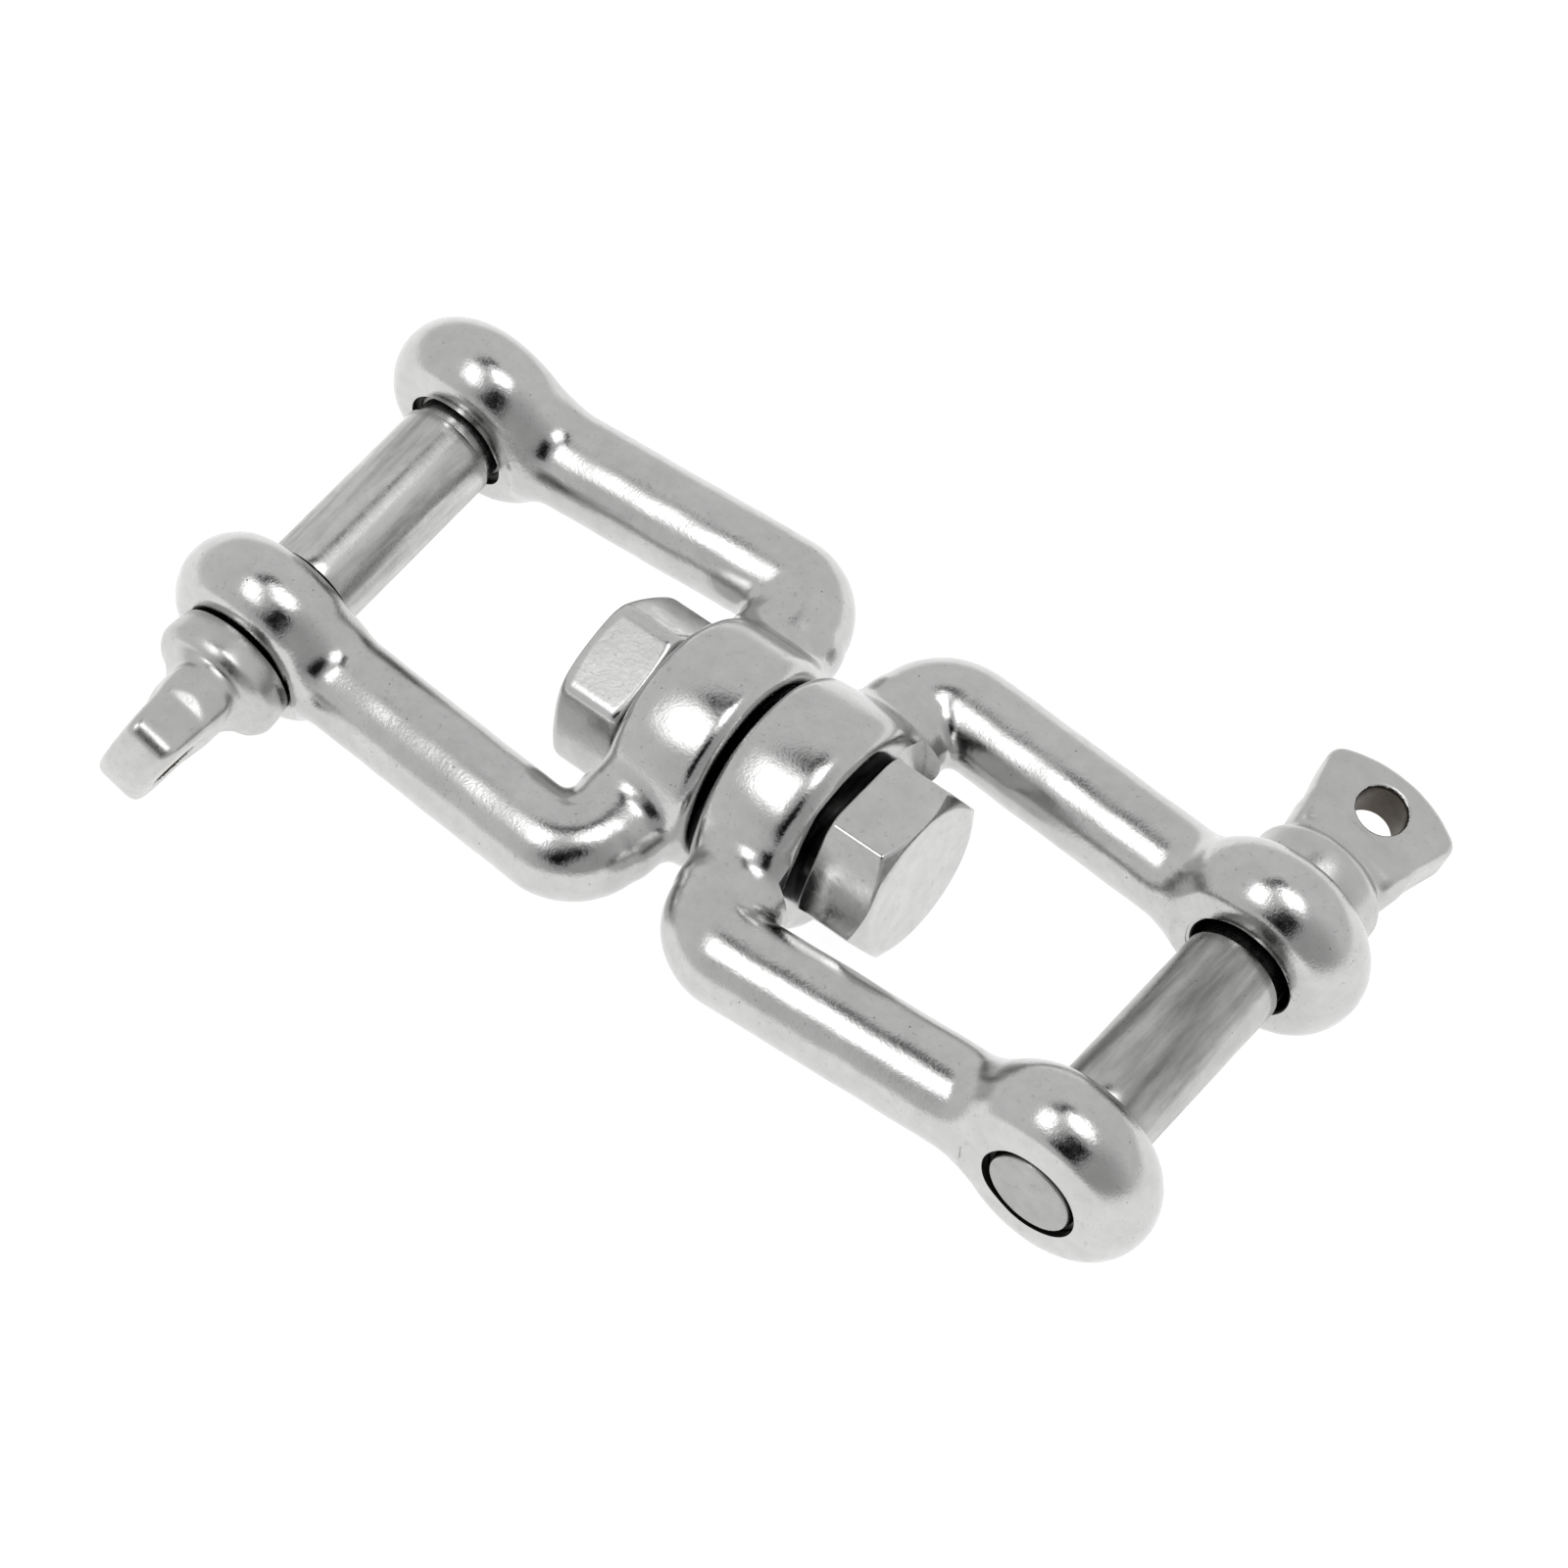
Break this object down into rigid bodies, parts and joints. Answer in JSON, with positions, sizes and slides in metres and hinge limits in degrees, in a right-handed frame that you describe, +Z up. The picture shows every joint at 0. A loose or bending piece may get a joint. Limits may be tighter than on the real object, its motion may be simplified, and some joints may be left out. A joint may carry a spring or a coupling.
{
  "type": "anchor chain swivel",
  "caption": "Jaw-to-jaw anchor chain swivel in polished stainless steel, with a hexagon swivel bolt and an eyed screw pin across each jaw.",
  "frame": {"origin": "on the swivel axis, midway between the bosses' facing ends", "axes": "+X along the swivel axis towards the jaw that holds the bolt's head; +Y across the jaws, along the pins, the way the right jaw's eye points; +Z up, away from the surface the swivel lies on"},
  "size_m": [0.0904, 0.0588, 0.0182],
  "materials": {
    "cast_steel": "polished stainless casting with fine pits",
    "machined_steel": "bright machined stainless",
    "pin_steel": "turned and polished stainless"
  },
  "bodies": {
    "left_jaw": {"left_jaw": "cast_steel"},
    "right_jaw": {"right_jaw": "cast_steel"},
    "swivel_bolt": {"swivel_bolt": "machined_steel", "swivel_nut": "machined_steel"},
    "left_pin": {"left_pin": "pin_steel"},
    "right_pin": {"right_pin": "pin_steel"}
  },
  "joints": [
    {"name": "jaw_swivel", "type": "hinge", "parent": "left_jaw", "child": "right_jaw", "pos_m": [0, 0, 0], "axis": [1, 0, 0], "continuous": true},
    {"name": "bolt_spin", "type": "hinge", "parent": "left_jaw", "child": "swivel_bolt", "pos_m": [0, 0, 0], "axis": [1, 0, 0], "continuous": true},
    {"name": "left_pin_slide", "type": "slide", "parent": "left_jaw", "child": "left_pin", "axis": [0, -0.9986, -0.0523], "range_m": [0, 0.052]},
    {"name": "right_pin_slide", "type": "slide", "parent": "right_jaw", "child": "right_pin", "axis": [0, 0.9986, -0.0523], "range_m": [0, 0.052]}
  ]
}
